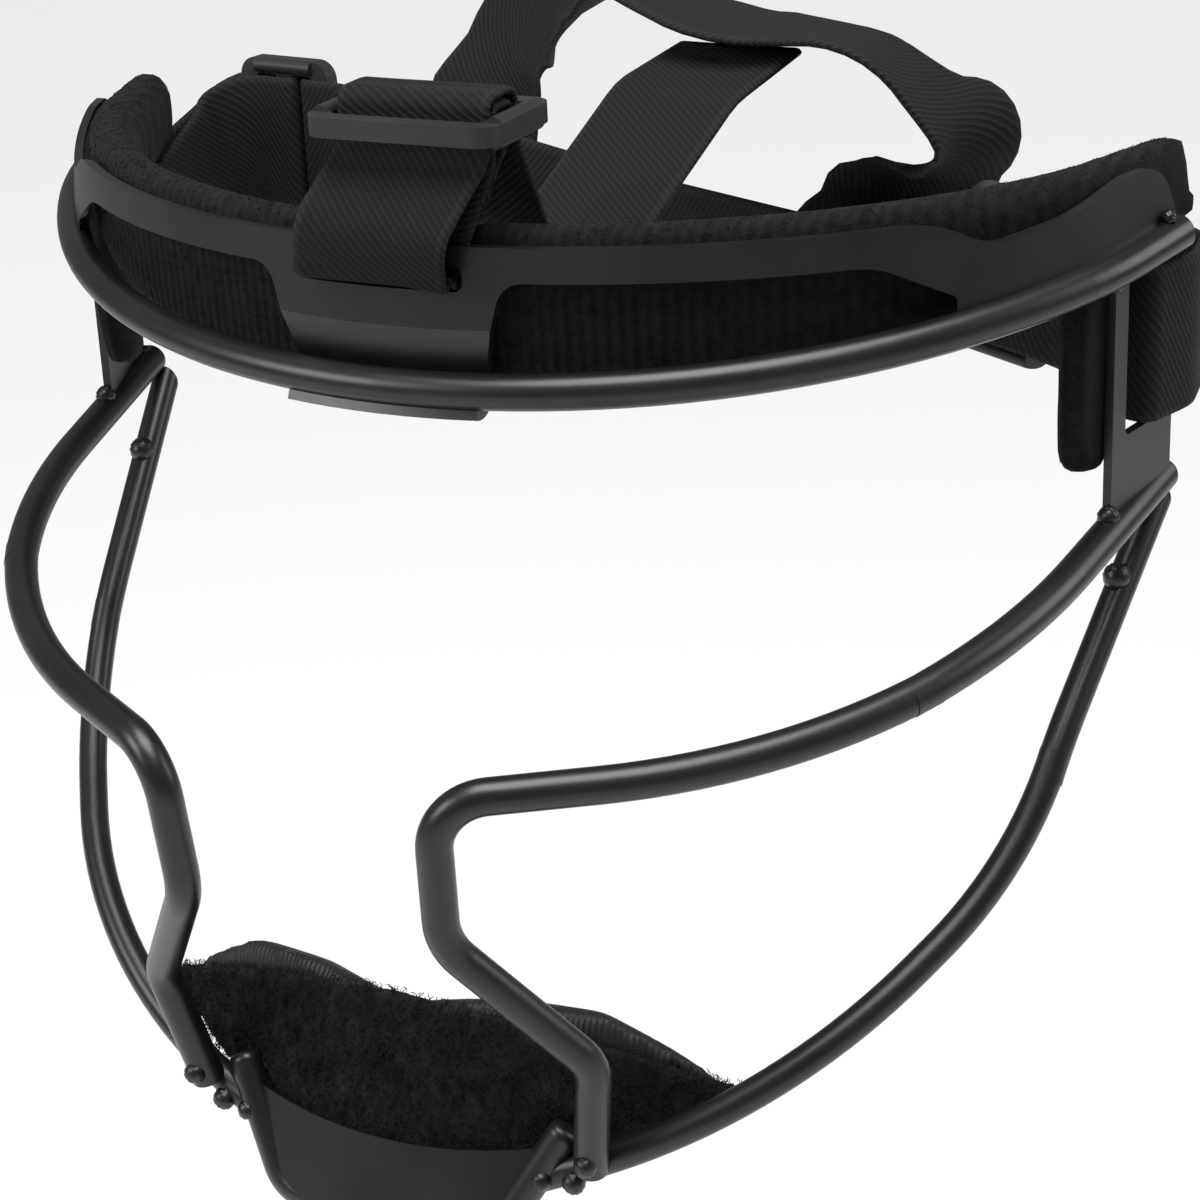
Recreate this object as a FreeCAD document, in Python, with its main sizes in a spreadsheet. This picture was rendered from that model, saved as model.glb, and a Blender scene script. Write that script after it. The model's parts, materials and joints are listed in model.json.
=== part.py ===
"""Steel-wire face guard for a softball fielder, as a parametric document.

Frame of the part: millimetres, +Z up, -Y is the way the wearer looks, +X is the wearer's left.
The origin is midway between the two temple plates, level with the underside of the brow bar.
"""
import FreeCAD, Part
import Sketcher
import math
import os

V = FreeCAD.Vector

os.makedirs("parts", exist_ok=True)
doc = FreeCAD.newDocument("face_guard")

# Driving sizes

SIZES = {
    "bar_dia": 5.6,            # brow, cheek and chin bars
    "jaw_dia": 5.0,            # the two thinner jaw bars
    "sheet_thick": 1.5,        # stamped steel plates
    "ring_front_y": -76.0,     # centre of the brow bar at its front
    "ring_front_z": 5.0,
    "ring_tilt": 9.2,         # degrees, the brow bar climbs to the rear
    "front_radius": 105.4,     # brow bar, front bend
    "front_half_angle": 60.5,
    "side_radius": 63.4,       # brow bar, tighter bend at each temple
    "side_angle": 11.0,
    "rear_run": 11.0,           # straight end of the brow bar
    "band_low_inset": 0.9,     # the brow plate leans in: its inset at the bar
    "band_high_inset": 6.4,    # and at the top of its blank
    "band_blank_height": 27.0,
    "web_half_top": 19.8,      # centre web, half widths
    "web_half_low": 16.2,
    "window_end_x": 78.0,
    "rail_under": 21.6,        # level of the rail's lower edge
    "slot_half": 13.9,         # slot for the top strap
    "slot_low": 20.0,
    "slot_high": 24.0,
    "plate_centre_x": 96.2,    # temple plate, centre line
    "plate_centre_y": -8.0,
    "plate_turn": 14.0,        # degrees from the fore-and-aft plane
    "plate_half_length": 9.0,
    "post_front": 3.8,
    "post_rear": 4.4,
    "plate_window_low": -12.3,
    "tape_thick": 1.2,
    "pad_thick": 8.0,
    "pad_low": -3.5,           # lower edge of the head pad, under the bar's centre plane
    "pad_top_z": 29.6,
    "pad_drop_z": -18.8,
    "webbing_width": 25.4,
    "webbing_thick": 1.4,
    "slider_length": 31.6,
    "slider_width": 20.5,
    "slider_thick": 3.0,
    "slider_bar": 3.2,
    "slider_wall": 2.8,
}

sheet = doc.addObject("Spreadsheet::Sheet", "sizes")
for row, (word, number) in enumerate(SIZES.items(), start=1):
    sheet.set("A%d" % row, word)
    sheet.set("B%d" % row, str(number))
    sheet.setAlias("B%d" % row, word)
doc.recompute()


def size(word):
    """A driving size, read back from the sheet."""
    return float(getattr(sheet, word))


def cell(word):
    """The expression that binds a property to a driving size."""
    return "sizes.%s" % word


# Points that the bars run through, on the wearer's left

CHEEK_POINTS = [V(97.5, 3.5, -24.3), V(90.0, -49.0, -34.2), V(68.0, -84.8, -42.4),
                V(23.5, -110.0, -44.4), V(22.5, -107.6, -68.8), V(39.1, -93.5, -93.6),
                V(35.4, -88.9, -115.6)]
CHEEK_BENDS = [101.0, 101.0, 8.4, 11.6, 8.5]
JAW_POINTS = [V(96.8, 8.5, -25.5), V(90.4, -27.8, -60.2), V(88.4, -40.0, -76.2),
              V(61.8, -80.7, -105.0), V(25.0, -88.4, -120.4)]
JAW_BENDS = [80.0, 76.0, 88.0]
CHIN_POINTS = [V(30.2, -85.8, -111.2), V(19.2, -92.6, -130.3), V(0.0, -95.0, -131.4),
               V(-19.2, -92.6, -130.3), V(-30.2, -85.8, -111.2)]
CHIN_BENDS = [7.0, 60.0, 7.0]

# Helpers for bent bars and folded webbing


def bend(before, corner, after, radius):
    """Tangent arc that rounds a corner: its two ends and its middle point."""
    back = (before - corner).normalize()
    ahead = (after - corner).normalize()
    angle = back.getAngle(ahead)
    reach = radius / math.tan(angle / 2)
    bisector = (back + ahead).normalize()
    middle = corner + bisector * (radius / math.sin(angle / 2) - radius)
    return corner + back * reach, middle, corner + ahead * reach


def bent_path(points, radii):
    """Straight runs joined by tangent arcs."""
    edges = []
    start = points[0]
    for before, corner, after, radius in zip(points, points[1:], points[2:], radii):
        first, middle, last = bend(before, corner, after, radius)
        edges.append(Part.LineSegment(start, first).toShape())
        edges.append(Part.Arc(first, middle, last).toShape())
        start = last
    edges.append(Part.LineSegment(start, points[-1]).toShape())
    return Part.Wire(edges)


def round_bar(points, radii, diameter):
    """A round bar bent along a path."""
    path = bent_path(points, radii)
    direction = points[1] - points[0]
    ring = Part.Wire([Part.makeCircle(diameter / 2, points[0], direction)])
    return path.makePipeShell([ring], True, False)


def straight_bar(start, end, diameter):
    """A straight round bar from one point to another."""
    run = end - start
    return Part.makeCylinder(diameter / 2, run.Length, start, run)


def feature(name, shape):
    """A document object that carries a shape made here."""
    thing = doc.addObject("Part::Feature", name)
    thing.Label = name
    thing.Shape = shape
    return thing


def boolean(kind, name, base, tool):
    """Cut, Fuse or Common of two objects."""
    thing = doc.addObject("Part::" + kind, name)
    thing.Label = name
    thing.Base = base
    thing.Tool = tool
    return thing


def mirrored(name, source):
    """The wearer's-right copy of a piece."""
    thing = doc.addObject("Part::Mirroring", name)
    thing.Label = name
    thing.Source = source
    thing.Base = V(0, 0, 0)
    thing.Normal = V(1, 0, 0)
    return thing


def new_body(name, place=None):
    """A body of its own, with its placement."""
    body = doc.addObject("PartDesign::Body", name)
    body.Label = name
    if place is not None:
        body.Placement = place
    return body


def plane_of(body, role):
    """One of a body's origin planes."""
    return [item for item in body.Origin.OriginFeatures if item.Role == role][0]


def new_sketch(body, name, role="XY_Plane", offset=0.0):
    """A sketch on an origin plane, moved along the plane's normal."""
    sketch = body.newObject("Sketcher::SketchObject", name)
    sketch.AttachmentSupport = [(plane_of(body, role), "")]
    sketch.MapMode = "FlatFace"
    sketch.AttachmentOffset = FreeCAD.Placement(V(0, 0, offset), FreeCAD.Rotation())
    return sketch


def draw_loop(sketch, corners):
    """A closed outline of straight sides, with a rounded corner where a corner has a radius."""
    count = len(corners)
    ends = []
    for index in range(count):
        before = V(*corners[index - 1][:2])
        corner = V(*corners[index][:2])
        after = V(*corners[(index + 1) % count][:2])
        radius = corners[index][2] if len(corners[index]) > 2 else 0.0
        if radius > 0:
            ends.append(bend(before, corner, after, radius))
        else:
            ends.append((corner, None, corner))
    for index, (first, middle, last) in enumerate(ends):
        if middle is not None:
            sketch.addGeometry(Part.Arc(first, middle, last), False)
        nearest = ends[(index + 1) % count][0]
        if (nearest - last).Length > 1e-6:
            sketch.addGeometry(Part.LineSegment(last, nearest), False)


def pad_of(body, sketch, name, length, both_ways=True):
    """A pad on a sketch; its length is a size word or a plain number."""
    pad = body.newObject("PartDesign::Pad", name)
    pad.Profile = sketch
    pad.Midplane = both_ways
    if isinstance(length, str):
        pad.setExpression("Length", cell(length))
    else:
        pad.Length = length
    doc.recompute()
    return pad


def through_pocket(body, sketch, name):
    """A pocket that goes right through, both ways."""
    pocket = body.newObject("PartDesign::Pocket", name)
    pocket.Profile = sketch
    pocket.Type = "ThroughAll"
    pocket.Midplane = True
    doc.recompute()
    return pocket


def outline_body(name, role, corners, depth, place=None):
    """A body padded both ways from one closed outline."""
    body = new_body(name, place)
    sketch = new_sketch(body, name + "_outline", role)
    draw_loop(sketch, corners)
    pad_of(body, sketch, name + "_pad", depth)
    return body


BEND_STEP = math.radians(22.0)


def webbing(name, corners, width, thickness):
    """Flat webbing that runs through corners and may twist on its way.

    A corner is a point, a bend radius and the direction of the webbing's width there.
    """
    stations = [(corners[0][0], corners[1][0] - corners[0][0], corners[0][2])]
    for before, here, after in zip(corners, corners[1:], corners[2:]):
        first, middle, last = bend(before[0], here[0], after[0], here[1])
        into = (here[0] - before[0]).normalize()
        out = (after[0] - here[0]).normalize()
        turn = into.getAngle(out)
        steps = max(1, math.ceil(turn / BEND_STEP))
        axis = into.cross(out)
        centre = first + (out - into * out.dot(into)).normalize() * here[1]
        for step in range(steps + 1):
            spin = FreeCAD.Rotation(axis, math.degrees(turn * step / steps))
            stations.append((centre + spin.multVec(first - centre), spin.multVec(into), here[2]))
    stations.append((corners[-1][0], corners[-1][0] - corners[-2][0], corners[-1][2]))
    sections = []
    for centre, run, across in stations:
        run = V(run).normalize()
        across = (across - run * across.dot(run)).normalize()
        normal = run.cross(across)
        half_w = across * (width / 2)
        half_t = normal * (thickness / 2)
        points = [centre - half_w - half_t, centre + half_w - half_t,
                  centre + half_w + half_t, centre - half_w + half_t]
        sections.append(Part.makePolygon(points + points[:1]))
    strip = Part.makeLoft(sections, True, True)
    if strip.Volume < 0:
        strip.reverse()
    return feature(name, strip)


# Brow bar: front bend, two temple bends and two short straight ends, in one tilted plane

RING_PLACE = FreeCAD.Placement(V(0, size("ring_front_y"), size("ring_front_z")),
                               FreeCAD.Rotation(V(1, 0, 0), size("ring_tilt")))


def ring_points(inset, rear_run=None):
    """Joints of one half of the brow line, moved inwards by an inset."""
    if rear_run is None:
        rear_run = size("rear_run")
    front = size("front_radius")
    side = size("side_radius")
    turn = math.radians(size("front_half_angle"))
    both = turn + math.radians(size("side_angle"))
    mid_front = V((front - inset) * math.sin(turn / 2), front - (front - inset) * math.cos(turn / 2))
    joint = V((front - inset) * math.sin(turn), front - (front - inset) * math.cos(turn))
    centre = V((front - side) * math.sin(turn), front - (front - side) * math.cos(turn))
    half = (turn + both) / 2
    mid_side = centre + V(math.sin(half), -math.cos(half)) * (side - inset)
    last = centre + V(math.sin(both), -math.cos(both)) * (side - inset)
    rear = last + V(math.cos(both), math.sin(both)) * rear_run
    return {"start": V(0, inset), "mid_front": mid_front, "joint": joint,
            "mid_side": mid_side, "last": last, "rear": rear}


def flip(point):
    """The same point on the other side of the middle plane."""
    return V(-point.x, point.y, point.z)


def draw_ring(sketch, outer_inset, inner_inset, rear_run=None):
    """Closed outline of a band that follows the brow line."""
    for inset in (outer_inset, inner_inset):
        ring = ring_points(inset, rear_run)
        sketch.addGeometry(Part.LineSegment(ring["rear"], ring["last"]), False)
        sketch.addGeometry(Part.Arc(ring["last"], ring["mid_side"], ring["joint"]), False)
        sketch.addGeometry(Part.Arc(ring["joint"], ring["start"], flip(ring["joint"])), False)
        sketch.addGeometry(Part.Arc(flip(ring["joint"]), flip(ring["mid_side"]), flip(ring["last"])), False)
        sketch.addGeometry(Part.LineSegment(flip(ring["last"]), flip(ring["rear"])), False)
    outer = ring_points(outer_inset, rear_run)["rear"]
    inner = ring_points(inner_inset, rear_run)["rear"]
    sketch.addGeometry(Part.LineSegment(outer, inner), False)
    sketch.addGeometry(Part.LineSegment(flip(outer), flip(inner)), False)


def lean(height):
    """Inset of the brow plate's middle surface at a height over the bar."""
    low = size("band_low_inset")
    return low + (size("band_high_inset") - low) * height / size("band_blank_height")


def cone_band(name, low, high, outer, inner):
    """A band between two heights, its faces set off inwards from the plate's middle surface."""
    body = new_body(name, RING_PLACE)
    lower = new_sketch(body, name + "_low", offset=low)
    draw_ring(lower, lean(low) + outer, lean(low) + inner)
    upper = new_sketch(body, name + "_high", offset=high)
    draw_ring(upper, lean(high) + outer, lean(high) + inner)
    loft = body.newObject("PartDesign::AdditiveLoft", name + "_loft")
    loft.Profile = lower
    loft.Sections = [upper]
    loft.Ruled = True
    doc.recompute()
    return body


brow_bar = new_body("brow_bar", RING_PLACE)
brow_spine = new_sketch(brow_bar, "brow_spine")
ring = ring_points(0.0)
brow_spine.addGeometry(Part.Arc(ring["start"], ring["mid_front"], ring["joint"]), False)
brow_spine.addGeometry(Part.Arc(ring["joint"], ring["mid_side"], ring["last"]), False)
brow_spine.addGeometry(Part.LineSegment(ring["last"], ring["rear"]), False)
brow_round = new_sketch(brow_bar, "brow_round", "YZ_Plane")
brow_round.addGeometry(Part.Circle(V(0, 0, 0), V(0, 0, 1), size("bar_dia") / 2), False)
brow_round.addConstraint(Sketcher.Constraint("Coincident", 0, 3, -1, 1))
dia = brow_round.addConstraint(Sketcher.Constraint("Diameter", 0, size("bar_dia")))
brow_round.setExpression("Constraints[%d]" % dia, cell("bar_dia"))
brow_pipe = brow_bar.newObject("PartDesign::AdditivePipe", "brow_pipe")
brow_pipe.Profile = brow_round
brow_pipe.Spine = (brow_spine, ["Edge1", "Edge2", "Edge3"])
doc.recompute()
brow_mirror = brow_bar.newObject("PartDesign::Mirrored", "brow_mirror")
brow_mirror.Originals = [brow_pipe]
brow_mirror.MirrorPlane = (plane_of(brow_bar, "YZ_Plane"), [""])
brow_bar.Tip = brow_mirror
doc.recompute()


# Bent bars: the cheek bars carry the jaw bars' upper ends, the chin bar closes the frame below

cheek_raw = round_bar(CHEEK_POINTS, CHEEK_BENDS, size("bar_dia"))
cheek_reach = straight_bar(CHEEK_POINTS[1], CHEEK_POINTS[0] + (CHEEK_POINTS[0] - CHEEK_POINTS[1]) * 0.4,
                           size("bar_dia"))
jaw_raw = round_bar(JAW_POINTS, JAW_BENDS, size("jaw_dia"))
chin_raw = round_bar(CHIN_POINTS, CHIN_BENDS, size("bar_dia"))


def rounded_ends(shape, points, radius):
    """Round off the rims of a bar at the given end points."""
    rims = [edge for edge in shape.Edges
            if min((edge.CenterOfMass - point).Length for point in points) < 0.5]
    return shape.makeFillet(radius, rims)


def behind_plane(point, normal, reach=30.0):
    """A block that starts at a plane and fills the side its normal points to."""
    block = Part.makeBox(reach, reach, reach, V(-reach / 2, -reach / 2, 0))
    block.Placement = FreeCAD.Placement(point, FreeCAD.Rotation(V(0, 0, 1), normal))
    return block


cheek_end = (CHEEK_POINTS[0] - CHEEK_POINTS[1]).normalize()
jaw_low_run = straight_bar(JAW_POINTS[3], JAW_POINTS[4], size("jaw_dia"))
cheek_shape = rounded_ends(cheek_raw, [CHEEK_POINTS[0]], 1.1).cut(jaw_low_run)
cheek_shape = max(cheek_shape.Solids, key=lambda solid: solid.Volume)
jaw_shape = jaw_raw.cut(cheek_raw).cut(cheek_reach).cut(behind_plane(CHEEK_POINTS[0], cheek_end))
jaw_shape = max(jaw_shape.cut(chin_raw).Solids, key=lambda solid: solid.Volume)
cheek_bar_left = feature("cheek_bar_left", cheek_shape)
jaw_bar_left = feature("jaw_bar_left", jaw_shape)
cheek_bar_right = mirrored("cheek_bar_right", cheek_bar_left)
jaw_bar_right = mirrored("jaw_bar_right", jaw_bar_left)
chin_bar = feature("chin_bar", rounded_ends(chin_raw, [CHIN_POINTS[0], CHIN_POINTS[-1]], 1.6))
doc.recompute()

# Brow plate: a leaning band, trimmed to its side view, with two long windows and a strap slot

plate_half = size("sheet_thick") / 2
band_blank = cone_band("band_blank", -1.0, size("band_blank_height"), -plate_half, plate_half)
web_foot = new_sketch(band_blank, "web_foot", "XZ_Plane")
WEB_JOIN_HEIGHT = 9.0
draw_loop(web_foot, [(-22, -6), (22, -6), (22, WEB_JOIN_HEIGHT), (-22, WEB_JOIN_HEIGHT)])
through_pocket(band_blank, web_foot, "web_foot_cut")

# The centre web passes behind the brow bar and hooks under it: a J profile turned about the bend's axis
web_hook = new_body("web_hook", RING_PLACE)
hook_edge = new_sketch(web_hook, "hook_edge", "YZ_Plane")
bar_radius = size("bar_dia") / 2
HOOK_FROM = math.radians(10.0)
HOOK_TO = math.radians(-126.0)


def polar(radius, angle):
    """A point round the brow bar's centre, in the bar's cross-section."""
    return V(radius * math.cos(angle), radius * math.sin(angle), 0)


hook_inner = bar_radius
hook_outer = bar_radius + size("sheet_thick")
join_middle = lean(WEB_JOIN_HEIGHT)
join_inner = V(join_middle - plate_half, WEB_JOIN_HEIGHT, 0)
join_outer = V(join_middle + plate_half, WEB_JOIN_HEIGHT, 0)
hook_halfway = (HOOK_FROM + HOOK_TO) / 2
hook_edge.addGeometry(Part.LineSegment(join_inner, polar(hook_inner, HOOK_FROM)), False)
hook_edge.addGeometry(Part.Arc(polar(hook_inner, HOOK_FROM), polar(hook_inner, hook_halfway),
                               polar(hook_inner, HOOK_TO)), False)
hook_edge.addGeometry(Part.LineSegment(polar(hook_inner, HOOK_TO), polar(hook_outer, HOOK_TO)), False)
hook_edge.addGeometry(Part.Arc(polar(hook_outer, HOOK_TO), polar(hook_outer, hook_halfway),
                               polar(hook_outer, HOOK_FROM)), False)
hook_edge.addGeometry(Part.LineSegment(polar(hook_outer, HOOK_FROM), join_outer), False)
hook_edge.addGeometry(Part.LineSegment(join_outer, join_inner), False)
hook_edge.addGeometry(Part.LineSegment(V(size("front_radius"), 0, 0), V(size("front_radius"), 9, 0)), True)
hook_turn = web_hook.newObject("PartDesign::Revolution", "hook_turn")
hook_turn.Profile = hook_edge
hook_turn.ReferenceAxis = (hook_edge, ["Axis0"])
hook_turn.Angle = 22.0
hook_turn.Midplane = True
doc.recompute()

# Side view of the plate's top edge: level at the front, a hump, a dip, then a raised rounded tail
TRIM_EDGE = [(-95, 26.8), (-43.0, 26.9, 9), (-35.8, 22.2, 8), (-24, 24.1, 18), (-12.5, 27.6, 12),
             (-4.0, 27.8, 5), (-1.0, 17.0), (30, 17.0), (30, 70), (-95, 70)]
trim_cutter = outline_body("trim_cutter", "YZ_Plane", TRIM_EDGE, 260.0)
window_low = -9.0
bar_top_front = size("ring_front_z") + bar_radius
rail_under = size("rail_under")
window_left = [(size("web_half_low"), window_low), (size("web_half_low"), bar_top_front),
               (size("web_half_top"), rail_under, 4.0), (68.5, rail_under, 9.0),
               (size("window_end_x"), 15.6, 1.5), (size("window_end_x"), window_low)]
window_cutter = outline_body("window_cutter", "XZ_Plane", window_left, 260.0)
window_mirror = mirrored("window_mirror", window_cutter)
slot_half = size("slot_half")
slot_cutter = outline_body("slot_cutter", "XZ_Plane",
                           [(-slot_half, size("slot_low"), 1.4), (slot_half, size("slot_low"), 1.4),
                            (slot_half, size("slot_high"), 1.4), (-slot_half, size("slot_high"), 1.4)],
                           170.0)
plate_sheet = boolean("Fuse", "plate_sheet", band_blank, web_hook)
plate_trimmed = boolean("Cut", "plate_trimmed", plate_sheet, trim_cutter)
plate_window_one = boolean("Cut", "plate_window_one", plate_trimmed, window_cutter)
plate_window_two = boolean("Cut", "plate_window_two", plate_window_one, window_mirror)
plate_slotted = boolean("Cut", "plate_slotted", plate_window_two, slot_cutter)
brow_plate = boolean("Cut", "brow_plate", plate_slotted, brow_bar)
doc.recompute()

# Temple plates: upright sheets that join the brow bar to the cheek bars, with a strap window
plate_half_length = size("plate_half_length")
PLATE_PLACE = FreeCAD.Placement(V(size("plate_centre_x"), size("plate_centre_y"), 0),
                                FreeCAD.Rotation(V(0, 0, 1), 90 - size("plate_turn")))
window_front = -plate_half_length + size("post_front")
window_rear = plate_half_length - size("post_rear")
temple_blank = new_body("temple_blank", PLATE_PLACE)
temple_outline = new_sketch(temple_blank, "temple_outline", "XZ_Plane")
draw_loop(temple_outline, [(-plate_half_length, -28.4), (plate_half_length, -24.8),
                           (plate_half_length, 17.4), (-plate_half_length, 14.2)])
pad_of(temple_blank, temple_outline, "temple_pad", "sheet_thick")
temple_window = new_sketch(temple_blank, "temple_window", "XZ_Plane")
draw_loop(temple_window, [(window_front, size("plate_window_low") - 0.9, 1.2),
                          (window_rear, size("plate_window_low") - 0.4, 2.2),
                          (window_rear, 24.0), (window_front, 24.0)])
through_pocket(temple_blank, temple_window, "temple_window_cut")
temple_on_brow = boolean("Cut", "temple_on_brow", temple_blank, brow_bar)
temple_clear = boolean("Cut", "temple_clear", temple_on_brow, brow_plate)
temple_plate_left = boolean("Cut", "temple_plate_left", temple_clear, cheek_bar_left)
doc.recompute()
temple_plate_right = mirrored("temple_plate_right", temple_plate_left)

# Chin plate: a bowed sheet between the arms of the chin bar
CHIN_TILT = -math.degrees(math.atan2(CHIN_POINTS[0].y - CHIN_POINTS[1].y, CHIN_POINTS[0].z - CHIN_POINTS[1].z))
CHIN_PLACE = FreeCAD.Placement(V(0, CHIN_POINTS[0].y, CHIN_POINTS[0].z), FreeCAD.Rotation(V(1, 0, 0), CHIN_TILT))
CHIN_BOW = 110.0
CHIN_FRONT = -3.5


def bowed_sheet(name, place, radius, front, thickness, half_width, height):
    """A sheet bowed forward about an upright axis, tall enough to be trimmed."""
    body = new_body(name, place)
    sketch = new_sketch(body, name + "_bow", "XY_Plane")
    arcs = []
    for reach in (radius + thickness / 2, radius - thickness / 2):
        spread = half_width / radius
        centre = front + radius
        ends = [V(reach * math.sin(s * spread), centre - reach * math.cos(s * spread), 0) for s in (-1, 1)]
        arcs.append((ends[0], V(0, centre - reach, 0), ends[1]))
    for first, middle, last in arcs:
        sketch.addGeometry(Part.Arc(first, middle, last), False)
    sketch.addGeometry(Part.LineSegment(arcs[0][0], arcs[1][0]), False)
    sketch.addGeometry(Part.LineSegment(arcs[0][2], arcs[1][2]), False)
    pad_of(body, sketch, name + "_pad", height)
    return body


chin_sheet = bowed_sheet("chin_sheet", CHIN_PLACE, CHIN_BOW, CHIN_FRONT, size("sheet_thick"), 34.0, 70.0)
chin_front = new_body("chin_front", CHIN_PLACE)
chin_outline = new_sketch(chin_front, "chin_outline", "XZ_Plane")
chin_corner = V(29.2, -3.2, 0)
chin_dip = V(0, -7.6, 0)
chin_low = V(19.4, -20.4, 0)
chin_base = V(0, -22.0, 0)
chin_outline.addGeometry(Part.Arc(flip(chin_corner), chin_dip, chin_corner), False)
chin_outline.addGeometry(Part.LineSegment(chin_corner, chin_low), False)
chin_outline.addGeometry(Part.Arc(chin_low, chin_base, flip(chin_low)), False)
chin_outline.addGeometry(Part.LineSegment(flip(chin_low), flip(chin_corner)), False)
pad_of(chin_front, chin_outline, "chin_front_pad", 60.0)
chin_trimmed = boolean("Common", "chin_trimmed", chin_sheet, chin_front)
chin_plate = boolean("Cut", "chin_plate", chin_trimmed, chin_bar)
doc.recompute()

# Weld beads: small drops of weld metal in the corners where bars and plates meet
BEAD_SPOTS = [(V(100.2, -5.4, 20.4), 1.5), (V(94.4, -17.3, -24.9), 2.1), (V(97.0, 0.9, -22.6), 1.4),
              (V(93.4, -10.0, -37.2), 2.6), (V(36.0, -92.2, -113.4), 2.2), (V(33.0, -90.6, -119.6), 2.2),
              (V(26.9, -91.0, -119.0), 2.0), (V(94.9, -16.6, 11.6), 1.3)]
NEIGHBOURS = [brow_bar, brow_plate, temple_plate_left, cheek_bar_left, jaw_bar_left, chin_bar, chin_plate]
beads = []
for spot, radius in BEAD_SPOTS:
    drop = Part.makeSphere(radius, spot)
    for piece in NEIGHBOURS:
        drop = drop.cut(piece.Shape)
    beads += [solid for solid in drop.Solids if solid.Volume > 0.8]
bead_shapes = Part.makeCompound(beads + [solid.mirror(V(0, 0, 0), V(1, 0, 0)) for solid in beads])
weld_beads = feature("weld_beads", bead_shapes)

# Hook tape behind the rail, one strip each side of the strap slot
tape_outer = plate_half
tape_inner = tape_outer + size("tape_thick")
tape_band = cone_band("tape_band", 6.0, 24.0, tape_outer, tape_inner)
tape_trim = outline_body("tape_trim", "YZ_Plane",
                         [(y, z - 0.9) if len(rest) == 0 else (y, z - 0.9, rest[0])
                          for y, z, *rest in TRIM_EDGE], 260.0)
TAPE_MIDDLE = 15.5
tape_gap = outline_body("tape_gap", "XZ_Plane", [(-TAPE_MIDDLE, -20), (TAPE_MIDDLE, -20),
                                                 (TAPE_MIDDLE, 60), (-TAPE_MIDDLE, 60)], 260.0)
tape_low = outline_body("tape_low", "XZ_Plane", [(-82, -20), (82, -20), (82, rail_under), (-82, rail_under)], 260.0)
tape_one = boolean("Cut", "tape_one", tape_band, tape_trim)
tape_two = boolean("Cut", "tape_two", tape_one, tape_gap)
tape_three = boolean("Cut", "tape_three", tape_two, tape_low)
head_hook_tape = boolean("Cut", "head_hook_tape", tape_three, brow_bar)
doc.recompute()

# Head pad: a cushion band inside the ring with a drop behind each temple plate
pad_thick = size("pad_thick")
PAD_REAR_RUN = 21.0
PAD_FRONT_Y = -77.5


def placed_sketch(body, name, place):
    """A sketch whose plane is set by a placement in the body's frame."""
    sketch = new_sketch(body, name)
    sketch.AttachmentOffset = place
    return sketch


def level(front_y, height):
    """A level plane at a height, its own origin at the front."""
    return FreeCAD.Placement(V(0, front_y, height), FreeCAD.Rotation())


def tilted(height):
    """A plane parallel to the brow bar's plane."""
    return RING_PLACE * FreeCAD.Placement(V(0, 0, height), FreeCAD.Rotation())


def cushion_loft(name, sections):
    """A ruled loft through ring outlines; a section is a placement and two insets."""
    body = new_body(name)
    sketches = []
    for index, (place, outer, inner) in enumerate(sections):
        sketch = placed_sketch(body, "%s_%d" % (name, index), place)
        draw_ring(sketch, outer, inner, PAD_REAR_RUN)
        sketches.append(sketch)
    loft = body.newObject("PartDesign::AdditiveLoft", name + "_loft")
    loft.Profile = sketches[0]
    loft.Sections = sketches[1:]
    loft.Ruled = True
    doc.recompute()
    return body


pad_top = size("pad_top_z")
pad_low = size("pad_low")
PAD_INSET = 4.4
PAD_TOP_INSET = 4.9
CROWN = 1.6
head_band = cushion_loft("head_band", [
    (tilted(pad_low), PAD_INSET + CROWN, PAD_INSET + pad_thick - 2 * CROWN),
    (tilted(pad_low + 2.5), PAD_INSET, PAD_INSET + pad_thick),
    (level(PAD_FRONT_Y, pad_top - 2.6), PAD_TOP_INSET, PAD_TOP_INSET + pad_thick),
    (level(PAD_FRONT_Y - 0.4, pad_top), PAD_TOP_INSET + CROWN, PAD_TOP_INSET + pad_thick - 2 * CROWN)])
# The drops lie flat behind the temple plates, ahead of the strap's way through the window
drop_left = outline_body("drop_left", "XZ_Plane",
                         [(-15.0, 13.0), (-15.6, -4.0, 10.0), (-14.6, size("pad_drop_z"), 5.0),
                          (-3.4, size("pad_drop_z"), 5.0), (-1.8, -4.0, 10.0), (-1.8, 13.0)], 5.6,
                         PLATE_PLACE * FreeCAD.Placement(V(0, plate_half + 0.4 + 2.8, 0), FreeCAD.Rotation()))
drop_right = mirrored("drop_right", drop_left)
drop_pads = boolean("Fuse", "drop_pads", drop_left, drop_right)
pad_whole = boolean("Fuse", "pad_whole", head_band, drop_pads)
slot_room = outline_body("slot_room", "YZ_Plane",
                         [(-80, 17.0), (-69.6, 17.0, 2.0), (-69.6, 40.0), (-80, 40.0)], 2 * 14.6)
pad_roomy = boolean("Cut", "pad_roomy", pad_whole, slot_room)
pad_relieved = boolean("Cut", "pad_relieved", pad_roomy, brow_bar)
head_pad = boolean("Cut", "head_pad", pad_relieved, head_hook_tape)
doc.recompute()

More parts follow.
